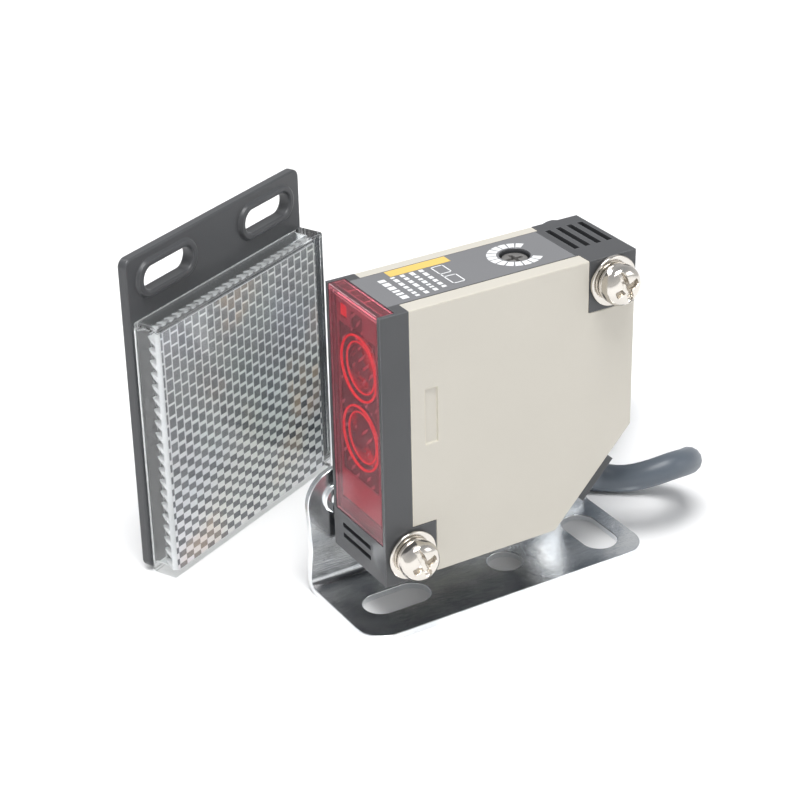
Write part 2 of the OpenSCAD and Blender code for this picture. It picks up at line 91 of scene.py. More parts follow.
def place_camera():
    """A camera that looks down on the sensor's open side from the front left."""
    turn, rise, roll = math.radians(-30.322), math.radians(27.708), math.radians(-1.298)
    back = np.array([math.sin(turn) * math.cos(rise), -math.cos(turn) * math.cos(rise), math.sin(rise)])
    right = np.cross([0, 0, 1], back)
    right /= np.linalg.norm(right)
    up = np.cross(back, right)
    side = right * math.cos(roll) + up * math.sin(roll)
    top = -right * math.sin(roll) + up * math.cos(roll)
    data = bpy.data.cameras.new("camera")
    data.sensor_width = 36
    data.lens = 99.0
    data.clip_start = 0.02
    camera = bpy.data.objects.new("camera", data)
    bpy.context.scene.collection.objects.link(camera)
    pose = np.eye(4)
    pose[:3, 0], pose[:3, 1], pose[:3, 2] = side, top, back
    pose[:3, 3] = np.array([-183.87, -278.68, 209.13]) * MM
    camera.matrix_world = Matrix(pose.tolist())
    bpy.context.scene.camera = camera


# ---- Meshes from arrays ----

def piece(name, points, faces, body, slot, material, replaces=(), sharp=40):
    """A new object from points in millimetres and faces as arrays of point numbers."""
    mesh = bpy.data.meshes.new(name)
    rows = [f for block in faces for f in np.asarray(block).tolist()]
    mesh.from_pydata((np.asarray(points) * MM).tolist(), [], rows)
    tidy(mesh, 1e-7)
    return finish_piece(name, mesh, body, material, replaces, sharp)


def tidy(mesh, join, flat=0.0):
    """Merges doubled points, joins faces that lie in one plane, and turns every face outwards."""
    work = bmesh.new()
    work.from_mesh(mesh)
    bmesh.ops.remove_doubles(work, verts=work.verts, dist=join)
    if flat:
        bmesh.ops.dissolve_limit(work, angle_limit=flat, verts=work.verts, edges=work.edges)
    bmesh.ops.recalc_face_normals(work, faces=work.faces)
    work.to_mesh(mesh)
    work.free()


def finish_piece(name, mesh, body, material, replaces=(), sharp=40):
    """Shades a mesh smooth up to an angle, and hangs it on its CAD body."""
    mesh.shade_smooth()
    mesh.set_sharp_from_angle(angle=math.radians(sharp))
    mesh.materials.clear()
    mesh.materials.append(material)
    new = bpy.data.objects.new(name, mesh)
    bpy.context.scene.collection.objects.link(new)
    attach(new, body)
    if replaces:
        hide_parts(*replaces)
    return new


def softened(node, radius, material, segments=2, angle=35):
    """A copy of a CAD node with its flat faces joined and its sharp edges rounded, by a radius in
    millimetres."""
    mesh = frame["nodes"][node].data.copy()
    mesh.name = node + "_finished"
    tidy(mesh, 1e-6, math.radians(0.5))
    new = finish_piece(node + "_finished", mesh, BODY_OF[node], material, (node,), angle)
    edge = new.modifiers.new("rounded_edges", "BEVEL")
    edge.width = radius * MM
    edge.segments = segments
    edge.limit_method = "ANGLE"
    edge.angle_limit = math.radians(angle)
    faces = new.modifiers.new("flat_faces", "WEIGHTED_NORMAL")
    faces.weight = 100
    faces.keep_sharp = True
    return new


def repaint(node, material):
    """Gives a CAD node that keeps its own shape a finished material."""
    for place in frame["nodes"][node].material_slots:
        place.material = material


def grid_faces(rows, columns, close_rows=False, close_columns=False):
    """Quads between neighbouring points of a grid that is stored row by row."""
    i = np.arange(rows if close_rows else rows - 1)[:, None]
    j = np.arange(columns if close_columns else columns - 1)[None, :]
    a, b = i * columns + j, i * columns + (j + 1) % columns
    c, d = (i + 1) % rows * columns + (j + 1) % columns, (i + 1) % rows * columns + j
    return np.stack([a, b, c, d], -1).reshape(-1, 4)


def ring(radius, height, turn):
    """Points round +Z: the radius times the unit circle, at one height."""
    return np.stack([radius * np.cos(turn), radius * np.sin(turn), np.full_like(turn, height)], -1)


def lathe(profile, sides=64):
    """Turns a closed profile of (radius, height) pairs about +Z: each point is its radius times the unit
    circle."""
    profile = np.asarray(profile, float)
    turn = np.arange(sides) * TAU / sides
    circle = np.stack([np.cos(turn), np.sin(turn)], -1)
    xy = profile[:, None, :1] * circle[None]
    z = np.broadcast_to(profile[:, None, 1:], xy.shape[:2] + (1,))
    return np.concatenate([xy, z], -1).reshape(-1, 3), grid_faces(len(profile), sides, True, True)


def facing(points, axis, at):
    """Turns points made along +Z to run along +X, -Y or +Y, and moves them to a place."""
    x, y, z = points.T
    turned = {"x": (z, x, y), "-y": (x, -z, y), "y": (y, z, x), "z": (x, y, z)}[axis]
    return np.stack(turned, -1) + np.asarray(at)


def joined(parts):
    """Several (points, faces) pairs as one."""
    points, faces, start = [], [], 0
    for p, f in parts:
        points.append(p)
        faces.append(np.asarray(f) + start)
        start += len(p)
    return np.concatenate(points), faces


def smooth_path(knots, steps):
    """A Catmull-Rom line: a cubic between each pair of knots, with slopes from the knots on each side."""
    knots = np.vstack([2 * knots[0] - knots[1], knots, 2 * knots[-1] - knots[-2]])
    before, here, after, beyond = knots[:-3], knots[1:-2], knots[2:-1], knots[3:]
    t = (np.arange(steps) / steps)[None, :, None]
    slope = (after - before)[:, None] / 2
    next_slope = (beyond - here)[:, None] / 2
    rise = (after - here)[:, None]
    line = here[:, None] + slope * t + (3 * rise - 2 * slope - next_slope) * t**2
    line = line + (slope + next_slope - 2 * rise) * t**3
    return np.vstack([line.reshape(-1, 3), knots[-2]])


def tube(path, radius, sides=14):
    """A round tube: a circle stands square to the path at each point, in its side and upward directions."""
    ahead = np.gradient(path, axis=0)
    ahead /= np.linalg.norm(ahead, axis=1)[:, None]
    side = np.cross(ahead, UP)
    side /= np.linalg.norm(side, axis=1)[:, None]
    upward = np.cross(side, ahead)
    turn = np.arange(sides) * TAU / sides
    c, s = np.cos(turn)[None, :, None], np.sin(turn)[None, :, None]
    spoke = c * side[:, None] + s * upward[:, None]
    radius = np.broadcast_to(radius, len(path))[:, None, None]
    wall = (path[:, None] + radius * spoke).reshape(-1, 3)
    ends = [np.arange(sides)[None, ::-1], (len(path) - 1) * sides + np.arange(sides)[None]]
    return wall, [grid_faces(len(path), sides, False, True), *ends]


BLOCK_FACES = np.array([(0, 1, 3, 2), (4, 6, 7, 5), (0, 4, 5, 1), (2, 3, 7, 6), (0, 2, 6, 4), (1, 5, 7, 3)])


def block(low, high):
    """An eight-cornered block between two corners."""
    low, high = np.asarray(low, float), np.asarray(high, float)
    pick = np.array([(i, j, k) for i in (0, 1) for j in (0, 1) for k in (0, 1)])
    return low + pick * (high - low), BLOCK_FACES


# ---- Materials ----

def new_group(name, inputs, outputs):
    """An empty shader group with float inputs and the outputs given as (name, type)."""
    tree = bpy.data.node_groups.new(name, "ShaderNodeTree")
    for label, value in inputs:
        socket = tree.interface.new_socket(label, in_out="INPUT", socket_type="NodeSocketFloat")
        socket.default_value = value
    for label, kind in outputs:
        tree.interface.new_socket(label, in_out="OUTPUT", socket_type="NodeSocket" + kind)
    return tree, Wires(tree), tree.nodes.new("NodeGroupInput"), tree.nodes.new("NodeGroupOutput")


class Wires:
    """Short ways to add a node and link what it reads."""

    def __init__(self, tree):
        self.tree = tree

    def add(self, kind, inputs=None, **settings):
        made = self.tree.nodes.new("ShaderNode" + kind)
        for key, value in settings.items():
            setattr(made, key, value)
        for key, value in (inputs or {}).items():
            self.feed(made.inputs[key], value)
        return made

    def feed(self, socket, value):
        if isinstance(value, bpy.types.NodeSocket):
            self.tree.links.new(value, socket)
        else:
            socket.default_value = value

    def math(self, operation, *values):
        made = self.add("Math", operation=operation)
        for socket, value in zip(made.inputs, values):
            self.feed(socket, value)
        return made.outputs[0]

    def mix(self, share, first, second):
        made = self.add("Mix", data_type="RGBA")
        for socket, value in zip((made.inputs[0], made.inputs[6], made.inputs[7]), (share, first, second)):
            self.feed(socket, value)
        return made.outputs[2]

    def tinted(self, first, second):
        """One colour multiplied by another."""
        made = self.add("Mix", data_type="RGBA", blend_type="MULTIPLY")
        for socket, value in zip((made.inputs[0], made.inputs[6], made.inputs[7]), (1.0, first, second)):
            self.feed(socket, value)
        return made.outputs[2]

    def place(self):
        """Object coordinates in millimetres."""
        where = self.add("TexCoord").outputs["Object"]
        return self.add("Mapping", {"Vector": where, "Scale": (1000, 1000, 1000)}).outputs[0]

    def split(self, vector):
        """The X, Y and Z of a vector."""
        return self.add("SeparateXYZ", {"Vector": vector}).outputs

    def ramp(self, value, low, high, start=0.0, end=1.0):
        """A value between low and high spread over start to end."""
        ends = {"Value": value, "From Min": low, "From Max": high, "To Min": start, "To Max": end}
        return self.add("MapRange", ends).outputs[0]

    def step(self, value, edge, width):
        """0 below an edge and 1 above it, over a narrow width."""
        return self.ramp(value, edge - width, edge + width)

    def noise(self, where, scale, detail, roughness=0.5):
        """Noise of a given fineness per millimetre."""
        grain = {"Vector": where, "Scale": scale, "Detail": detail, "Roughness": roughness}
        return self.add("TexNoise", grain).outputs

    def dot(self, first, second):
        """How far one vector runs along another."""
        return self.add("VectorMath", {0: first, 1: second}, operation="DOT_PRODUCT").outputs["Value"]

    def bump(self, height, strength, distance):
        """A normal tilted by a height."""
        return self.add("Bump", {"Height": height, "Strength": strength, "Distance": distance}).outputs[0]


def grain_group():
    """Fine moulded grain: two sizes of noise tell the bump and how the colour and gloss vary."""
    tree, w, given, result = new_group(
        "moulded_grain", [("Size", 1.0), ("Depth", 0.1), ("Mottle", 0.1)],
        [("Normal", "Vector"), ("Shade", "Float")])
    where = w.place()
    fine = w.noise(where, given.outputs["Size"], 3.0)[0]
    broad = w.noise(where, 0.09, 2.0)[0]
    shade = w.math("MULTIPLY_ADD", w.math("SUBTRACT", broad, 0.5), given.outputs["Mottle"], 1.0)
    tree.links.new(w.bump(fine, given.outputs["Depth"], 0.0001), result.inputs["Normal"])
    tree.links.new(shade, result.inputs["Shade"])
    return tree


def pale_edge_group():
    """Pale edges: where the rounded normal leaves the flat one there is an edge, broken up by noise. On the
    cream moulding and the clear acrylic the mask paints a highlight.
    """
    tree, w, given, result = new_group("pale_edge_mask", [("Radius", 0.0004), ("Amount", 0.5)],
                                       [("Mask", "Float")])
    round_normal = w.add("Bevel", {"Radius": given.outputs["Radius"]}, samples=4).outputs[0]
    flat_normal = w.add("NewGeometry").outputs["Normal"]
    match = w.dot(round_normal, flat_normal)
    edge = w.math("MULTIPLY", w.math("SUBTRACT", 1.0, match), 6.0)
    noise = w.noise(w.place(), 1.6, 4.0)[0]
    mask = w.math("MULTIPLY", w.math("MULTIPLY", edge, noise), given.outputs["Amount"])
    clamped = w.add("Clamp", {"Value": mask}).outputs[0]
    tree.links.new(clamped, result.inputs["Mask"])
    return tree


GRAIN = grain_group()
PALE_EDGES = pale_edge_group()


def start_material(name, **sockets):
    """A material with one Principled shader whose constant sockets are set by name."""
    made = bpy.data.materials.new(name)
    made.use_nodes = True
    shader = made.node_tree.nodes["Principled BSDF"]
    for key, value in sockets.items():
        shader.inputs[key.replace("_", " ")].default_value = value
    return made, Wires(made.node_tree), shader


def use_group(w, tree, **values):
    """One use of a shader group, with its float inputs set by name."""
    made = w.add("Group", node_tree=tree)
    for key, value in values.items():
        made.inputs[key].default_value = value
    return made


def plain_finish(name, colour, roughness, grain, depth, mottle, pale_edge_colour=None, pale_edge_amount=0.5, **sockets):
    """Moulded, plated or painted: one colour with grain, a slow mottle and, where given, paler edges, which
    on the cream moulding are a painted highlight.
    """
    made, w, shader = start_material(name, **sockets)
    surface = use_group(w, GRAIN, Size=grain, Depth=depth, Mottle=mottle).outputs
    tone = w.add("CombineColor", {channel: surface["Shade"] for channel in range(3)}).outputs[0]
    base = w.tinted((*colour, 1), tone)
    if pale_edge_colour:
        edge = use_group(w, PALE_EDGES, Radius=0.0004, Amount=pale_edge_amount)
        base = w.mix(edge.outputs[0], base, (*pale_edge_colour, 1))
    w.feed(shader.inputs["Base Color"], base)
    w.feed(shader.inputs["Roughness"], w.math("MULTIPLY", surface["Shade"], roughness))
    w.feed(shader.inputs["Normal"], surface["Normal"])
    return made


def zinc_finish():
    """Bright zinc on rolled sheet: fine rolling lines along X, a soft mottle and tiny pits."""
    made, w, shader = start_material("bright_zinc", Metallic=1.0)
    where = w.place()
    stretched = w.add("Mapping", {"Vector": where, "Scale": (0.15, 4.0, 4.0)}).outputs[0]
    lines = w.noise(stretched, 1.5, 5.0)[0]
    mottle = w.noise(where, 0.22, 5.0, 0.6)[0]
    pits = w.step(w.noise(where, 3.2, 2.0)[0], 0.71, 0.03)
    colour = w.mix(w.ramp(mottle, 0.3, 0.7), (0.78, 0.81, 0.84, 1), (0.97, 0.98, 0.98, 1))
    colour = w.mix(w.math("MULTIPLY", pits, 0.5), colour, (0.25, 0.25, 0.27, 1))
    rough = w.math("ADD", w.math("MULTIPLY", mottle, 0.22), w.math("MULTIPLY", lines, 0.10))
    w.feed(shader.inputs["Base Color"], colour)
    w.feed(shader.inputs["Roughness"], w.math("ADD", rough, 0.02))
    height = w.math("ADD", w.math("MULTIPLY", lines, 0.5), w.math("MULTIPLY", mottle, 1.6))
    w.feed(shader.inputs["Normal"], w.bump(height, 0.28, 0.0002))
    return made


def glint_group():
    """Pale slanted patches on a crossed lattice, some of them missing: steps that catch the light."""
    tree, w, given, result = new_group("step_glints", [("Amount", 1.0)], [("Mask", "Float")])
    _, y, z = w.split(w.place())
    first = w.math("FRACT", w.math("DIVIDE", w.math("MULTIPLY_ADD", y, 0.9, z), 2.3))
    second = w.math("FRACT", w.math("DIVIDE", w.math("MULTIPLY_ADD", z, 0.35, y), 1.7))
    long_way = w.step(w.math("PINGPONG", first, 0.5), 0.36, 0.02)
    short_way = w.step(w.math("PINGPONG", second, 0.5), 0.24, 0.02)
    patch = w.math("MULTIPLY", long_way, short_way)
    some = w.step(w.noise(w.place(), 0.32, 0.0)[0], 0.47, 0.02)
    mask = w.math("MULTIPLY", w.math("MULTIPLY", patch, some), given.outputs["Amount"])
    tree.links.new(mask, result.inputs["Mask"])
    return tree


GLINTS = glint_group()
GLINT_PINK = (0.55, 0.42, 0.44, 1)


def lens_finish():
    """A dark glossy lens with pale glints and a slow red glow."""
    made, w, shader = start_material("lens_dome", Roughness=0.08, Coat_Weight=1.0)
    glint = use_group(w, GLINTS, Amount=1.0).outputs[0]
    glow = w.noise(w.place(), 0.16, 1.0)[0]
    base = w.mix(w.step(glow, 0.52, 0.06), (0.03, 0.008, 0.010, 1), (0.62, 0.010, 0.030, 1))
    w.feed(shader.inputs["Base Color"], w.mix(glint, base, GLINT_PINK))
    bump = use_group(w, GRAIN, Size=0.8, Depth=0.3, Mottle=0.5)
    w.feed(shader.inputs["Normal"], bump.outputs["Normal"])
    return made


def holder_finish():
    """The optics frame: a pale front face, darker above its lower bar, and a pocket sunk into it that is
    painted near black as shade, with painted glints.
    """
    made, w, shader = start_material("optics_frame", Roughness=0.5)
    surface = use_group(w, GRAIN, Size=1.2, Depth=0.2, Mottle=0.5)
    depth, _, height = w.split(w.place())
    sunk = w.step(depth, float(BODY[0]) + 2.0, 0.05)
    upper = w.step(height, float(BODY[2]) + 16.2, 0.6)
    pale = w.mix(upper, (0.40, 0.29, 0.33, 1), (0.28, 0.22, 0.25, 1))
    glint = use_group(w, GLINTS, Amount=0.9).outputs[0]
    # The sunk pocket is painted near black as shade, with painted glints
    shaded_pocket = w.mix(glint, (0.020, 0.014, 0.016, 1), GLINT_PINK)
    w.feed(shader.inputs["Base Color"], w.mix(sunk, pale, shaded_pocket))
    w.feed(shader.inputs["Normal"], surface.outputs["Normal"])
    return made


def prism_finish():
    """The reflector's prisms seen from the front, their reflections painted as colour: bricks in columns,
    tall and grey at the top, turning into a light and dark chequer towards the bottom, with pale joints."""
    made, w, shader = start_material("prism_sheet", Roughness=0.16, Coat_Weight=0.6, Coat_Roughness=0.04)
    column_width, row_height, sheet_height = 1.98, 2.36, 49.0
    where = w.place()
    moved = w.add("VectorMath", {0: where, 1: tuple(REFLECTOR)}, operation="SUBTRACT").outputs[0]
    across, up = w.dot(moved, tuple(ACROSS)), w.split(moved)[2]
    column = w.math("DIVIDE", across, column_width)
    index = w.math("FLOOR", column)
    half = w.math("MULTIPLY", w.math("MODULO", index, 2.0), 0.5)
    row = w.math("ADD", w.math("DIVIDE", up, row_height), half)
    in_row, in_column = w.math("FRACT", row), w.math("FRACT", column)
    height = w.math("DIVIDE", up, sheet_height)
    fill = w.ramp(height, 0.30, 0.72, 0.5, 0.84)
    inside = w.ramp(w.math("SUBTRACT", fill, in_row), -0.03, 0.03)
    from_middle = w.math("ABSOLUTE", w.math("SUBTRACT", in_column, 0.5))
    joint = w.math("MULTIPLY", w.step(from_middle, 0.42, 0.03), w.step(height, 0.42, 0.12))
    dark = w.math("MULTIPLY", inside, w.math("SUBTRACT", 1.0, joint))
    cell = w.add("CombineXYZ", {0: index, 1: w.math("FLOOR", row)}).outputs[0]
    chance = w.add("TexWhiteNoise", {"Vector": cell}, noise_dimensions="2D").outputs["Value"]
    drift = w.noise(where, 0.045, 2.0)
    # The bricks' fall from grey to dark, the chequer and the pale joints are painted reflection
    bricks = w.mix(w.step(height, 0.5, 0.3), (0.070, 0.074, 0.088, 1), (0.29, 0.295, 0.31, 1))
    paler = w.mix(0.5, bricks, (0.5, 0.5, 0.5, 1))
    bricks = w.mix(w.math("MULTIPLY", chance, 0.5), bricks, paler)
    joints = w.mix(w.step(height, 0.45, 0.3), (0.84, 0.84, 0.83, 1), (0.86, 0.87, 0.88, 1))
    warm = w.math("MULTIPLY", w.step(drift[0], 0.56, 0.05), w.math("MULTIPLY", chance, 0.30))
    colour = w.mix(warm, w.mix(dark, joints, bricks), (0.85, 0.55, 0.28, 1))
    tint = w.mix(0.22, (1, 1, 1, 1), drift["Color"])
    w.feed(shader.inputs["Base Color"], w.tinted(colour, tint))
    slope = w.math("MULTIPLY", w.math("PINGPONG", in_row, 0.5), 0.8)
    tilt = w.math("ADD", w.math("MULTIPLY", dark, 0.4), slope)
    w.feed(shader.inputs["Normal"], w.bump(tilt, 0.35, 0.0006))
    return made


def see_through(name, tint, gloss_roughness, haze, haze_colour, thick=False, edges=0.0):
    """Clear moulding: a tinted body with a little haze, and a gloss that grows at a glancing view. Where
    edges is given, the haze grows along the rounded edges into painted highlight lines. A thick one bends
    what is seen through it, and lets lamplight in as a thin film would."""
    bend = 1.49
    made = bpy.data.materials.new(name)
    made.use_nodes = True
    tree = made.node_tree
    tree.nodes.remove(tree.nodes["Principled BSDF"])
    w = Wires(tree)
    grain = use_group(w, GRAIN, Size=0.35, Depth=0.25, Mottle=0.3)
    film = w.add("BsdfTransparent", {"Color": (*tint, 1)}).outputs[0]
    clear = film
    if thick:
        clear = w.add("BsdfRefraction", {"Color": (*tint, 1), "Roughness": 0.0, "IOR": bend}).outputs[0]
    milk = w.add("BsdfDiffuse", {"Color": (*haze_colour, 1)}).outputs[0]
    milky = w.math("MULTIPLY", grain.outputs["Shade"], haze)
    if edges:
        # Along the rounded edges the haze is raised: painted highlight lines
        rim = use_group(w, PALE_EDGES, Radius=0.0005, Amount=1.0).outputs[0]
        milky = w.math("MULTIPLY_ADD", rim, edges, milky)
    within = w.add("MixShader", {0: milky, 1: clear, 2: milk}).outputs[0]
    shine = {"Color": (1, 1, 1, 1), "Roughness": gloss_roughness, "Normal": grain.outputs["Normal"]}
    gloss = w.add("BsdfGlossy", shine).outputs[0]
    share = w.add("Fresnel", {"IOR": bend}).outputs[0]
    if not thick:
        outer = w.math("SUBTRACT", 1.0, w.add("NewGeometry").outputs["Backfacing"])
        share = w.math("MULTIPLY", share, outer)
    whole = w.add("MixShader", {0: share, 1: within, 2: gloss}).outputs[0]
    if thick:
        rays = w.add("LightPath").outputs
        passing = w.math("MAXIMUM", rays["Is Shadow Ray"], rays["Is Diffuse Ray"])
        whole = w.add("MixShader", {0: passing, 1: whole, 2: film}).outputs[0]
    tree.links.new(whole, tree.nodes["Material Output"].inputs["Surface"])
    return made


# Name: colour, roughness, then the grain's fineness, its depth and the mottle
PLAIN = {
    "black_moulding": ((0.02, 0.017, 0.018), 0.5, 3.0, 0.1, 0.2),
    "label_film": ((0.17, 0.172, 0.18), 0.33, 5.0, 0.03, 0.1),
    "white_ink": ((0.75, 0.76, 0.77), 0.5, 6.0, 0.02, 0.1),
    "yellow_patch": ((0.72, 0.50, 0.13), 0.4, 5.0, 0.02, 0.1),
    "black_rubber": ((0.035, 0.037, 0.042), 0.6, 2.0, 0.25, 0.3),
    "cable_sheath": ((0.098, 0.118, 0.142), 0.40, 1.2, 0.30, 0.3),
    "white_nylon": ((0.75, 0.75, 0.72), 0.4, 2.0, 0.1, 0.1),
    "adjuster_grey": ((0.16, 0.155, 0.15), 0.35, 2.0, 0.1, 0.25),
    "circuit_board": ((0.03, 0.16, 0.07), 0.3, 1.5, 0.1, 0.5),
    "blue_coating": ((0.05, 0.12, 0.34), 0.3, 2.0, 0.1, 0.2),
    "tan_coating": ((0.58, 0.42, 0.26), 0.35, 2.0, 0.1, 0.2),
}
METAL = {
    "nickel_plate": ((0.70, 0.665, 0.615), 0.15, 2.0, 0.10, 0.5),
    "soft_iron": ((0.5, 0.5, 0.52), 0.35, 2.0, 0.15, 0.4),
    "contact_metal": ((0.80, 0.62, 0.33), 0.25, 2.0, 0.1, 0.3),
    "zinc_clamp": ((0.65, 0.67, 0.69), 0.3, 2.0, 0.15, 0.4),
}
FINISH = {name: plain_finish(name, *look) for name, look in PLAIN.items()}
FINISH |= {name: plain_finish(name, *look, Metallic=1.0) for name, look in METAL.items()}
FINISH |= {
    "charcoal": plain_finish("charcoal_moulding", (0.058, 0.060, 0.064), 0.36, 3.0, 0.10, 0.25,
                             pale_edge_colour=(0.16, 0.165, 0.175)),
    # The cream's paler edges are a painted highlight, where light catches its rounded edges
    "cream": plain_finish("cream_moulding", (0.535, 0.508, 0.450), 0.48, 2.2, 0.05, 0.05,
                          pale_edge_colour=(0.86, 0.79, 0.62), pale_edge_amount=0.7),
    "zinc": zinc_finish(),
    "copper": plain_finish("enamelled_copper", (0.52, 0.22, 0.09), 0.3, 5.0, 0.5, 0.4, Metallic=0.6),
    # The lens rims and the LEDs that share this finish glow a faint red: painted glow, they are not lit
    "lens_rim": plain_finish("red_lens_rim", (0.75, 0.012, 0.03), 0.12, 1.0, 0.1, 0.3,
                             Emission_Color=(1.0, 0.02, 0.06, 1), Emission_Strength=0.4),
    "lens_dome": lens_finish(),
    "optics_frame": holder_finish(),
    "prism_sheet": prism_finish(),
    "prism_facets": plain_finish("prism_facets", (0.78, 0.79, 0.80), 0.12, 0.8, 0.4, 0.5, Coat_Weight=1.0),
    "filter_film": see_through("filter_film", (0.93, 0.93, 0.94), 0.03, 0.01, (0.4, 0.4, 0.42)),
    "clear_case": see_through("clear_case", (0.92, 0.94, 0.95), 0.1, 0.08, (0.8, 0.82, 0.85)),
    "clear_acrylic": see_through("clear_acrylic", (0.96, 0.97, 0.97), 0.03, 0.03, (0.92, 0.93, 0.93),
                                 thick=True, edges=0.35),
    "red_window": see_through("red_window", (0.92, 0.46, 0.52), 0.2, 0.075, (0.60, 0.11, 0.17), thick=True),
}


# ---- Cable, first ----

def coil_path():
    """Turns at one radius and height each: over a short arc at the tie every turn steps to the next layer,
    and after each column to the next column inwards."""
    turns, points_a_turn, step_width = len(COIL_RADII) * COIL_LAYERS, 40, math.radians(50)
    sweep = COIL_IN - COIL_OUT + TAU * (turns - 1)
    swept = np.linspace(0, sweep, int(sweep / TAU * points_a_turn))
    first = (COIL_IN - TIE_AT) % TAU
    state = np.zeros_like(swept)
    for turn in range(turns - 1):
        share = np.clip((swept - first - turn * TAU) / step_width + 0.5, 0, 1)
        state += share * share * (3 - 2 * share)
    upwards = np.arange(COIL_LAYERS)
    layers = np.tile(np.concatenate([upwards, upwards[::-1]]), 2)[:turns]
    radius = np.interp(state, np.arange(turns), np.repeat(COIL_RADII, COIL_LAYERS))
    height = CABLE_R + 2 * CABLE_R * np.interp(state, np.arange(turns), layers)
    angle = COIL_IN - swept
    return np.stack([COIL_AT[0] + radius * np.cos(angle), COIL_AT[1] + radius * np.sin(angle), height], -1)


def make_cable():
    """The sheath follows the route, then the coil, then a small arc into the coil's middle."""
    route = smooth_path(CABLE_ROUTE, 6)
    coil = coil_path()
    leaving = np.array([math.cos(COIL_OUT), math.sin(COIL_OUT)])
    centre = COIL_AT + (COIL_RADII[-1] - CURL_R) * leaving
    curl = ring(CURL_R, coil[-1, 2], np.linspace(COIL_OUT, CURL_END, 14)[1:])
    path = np.vstack([route[:-1], coil, curl + [*centre, 0]])
    path = path[np.r_[True, np.linalg.norm(np.diff(path, axis=0), axis=1) > 0.05]]
    sheath = tube(path, CABLE_R)
    nodes = ("cable_tube", "cable_coil")
    return piece("cable", *sheath, "sensor", "cable_sheath", FINISH["cable_sheath"], nodes), path


def make_cores():
    """Five cores that fan a little out of the sheath's end, with a bare copper strand in each."""
    ahead = np.array([math.cos(CORE_HEADING), math.sin(CORE_HEADING), 0])
    side = np.cross(UP, ahead)
    length, bare, core_r, strand_r = 8.0, 3.0, 0.6, 0.32
    colours = {"brown": (0.30, 0.12, 0.05), "blue": (0.04, 0.12, 0.45), "white": (0.75, 0.75, 0.72),
               "black": (0.03, 0.03, 0.03), "grey": (0.35, 0.36, 0.37)}
    made = []
    for k, colour in enumerate(colours.values()):
        turn = TAU * k / len(colours)
        spoke = side * math.cos(turn) + UP * math.sin(turn)
        s = np.linspace(0, 1, 12)[:, None]
        path = CABLE_END + ahead * length * s + spoke * (1.15 + 0.5 * s * s)
        wire = CABLE_END + ahead * (length + bare * s) + spoke * 1.65
        cover = plain_finish(f"core_colour_{k + 1}", colour, 0.35, 3.0, 0.05, 0.1)
        core, strand = tube(path, core_r, 10), tube(wire, strand_r, 8)
        made.append(piece(f"cable_core_{k + 1}", *core, "sensor", "core_insulation", cover))
        made.append(piece(f"core_strand_{k + 1}", *strand, "sensor", "core_insulation", FINISH["copper"]))
    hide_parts("cable_end_cores")
    return made


def make_tie():
    """A flat tie round the coil's section: a rounded rectangle, from a circle whose cosine and sine are
    raised to a small power, carried across the strap's width and thickness."""
    c, s = math.cos(TIE_AT), math.sin(TIE_AT)
    points, power, half_width, thick = 64, 0.16, 1.5, 0.65
    t = np.arange(points) * TAU / points
    across = np.sign(np.cos(t)) * np.abs(np.cos(t)) ** power
    along = np.sign(np.sin(t)) * np.abs(np.sin(t)) ** power
    rings = []
    for grow, y in ((0, -half_width), (thick, -half_width), (thick, half_width), (0, half_width)):
        r = (COIL_INSIDE + COIL_OUTSIDE) / 2 + across * ((COIL_OUTSIDE - COIL_INSIDE) / 2 + grow)
        z = np.maximum(0.05, COIL_TOP / 2 + along * (COIL_TOP / 2 + grow))
        rings.append(np.stack([COIL_AT[0] + c * r - s * y, COIL_AT[1] + s * r + c * y, z], -1))
    loop = np.concatenate(rings)
    faces = [grid_faces(len(rings), points, True, True)]
    return piece("cable_tie_strap", loop, faces, "sensor", "white_nylon", FINISH["white_nylon"],
                 ("cable_tie",))


place_camera()
cable, cable_path = make_cable()
cable_cores = make_cores()
cable_tie = make_tie()


# ---- Sensor shells ----

softened("housing", 0.16, FINISH["charcoal"])
softened("near_cover", 0.45, FINISH["cream"], 3)
softened("far_cover", 0.45, FINISH["cream"], 3)
softened("front_window", 0.25, FINISH["red_window"])
softened("top_label", 0.05, FINISH["label_film"], 1)
softened("cable_gland", 0.5, FINISH["black_rubber"], 3)
softened("optics_holder", 0.15, FINISH["optics_frame"], 1)
softened("bracket", 0.22, FINISH["zinc"], 2)
softened("reflector_plate", 0.45, FINISH["charcoal"], 3)
softened("adjuster_rotor", 0.15, FINISH["adjuster_grey"])


def ring_mark(start, end, low, high):
    """One segment of the ring round the adjuster: a flat arc with closed sides."""
    steps, inner, outer, squash = 5, 3.2, 4.9, 0.92
    t = np.linspace(start, end, steps)
    arcs = [(ADJUSTER[0] + r * np.cos(t), ADJUSTER[1] + r * squash * np.sin(t)) for r in (inner, outer)]
    points = np.concatenate([np.stack([x, y, np.full(steps, h)], -1) for h in (low, high) for x, y in arcs])
    lower = grid_faces(2, steps)
    border = np.r_[0:steps, 2 * steps - 1:steps - 1:-1]
    after = np.roll(border, -1)
    rim = np.stack([border, after, after + 2 * steps, border + 2 * steps], -1)
    return points, np.concatenate([lower, lower + 2 * steps, rim])


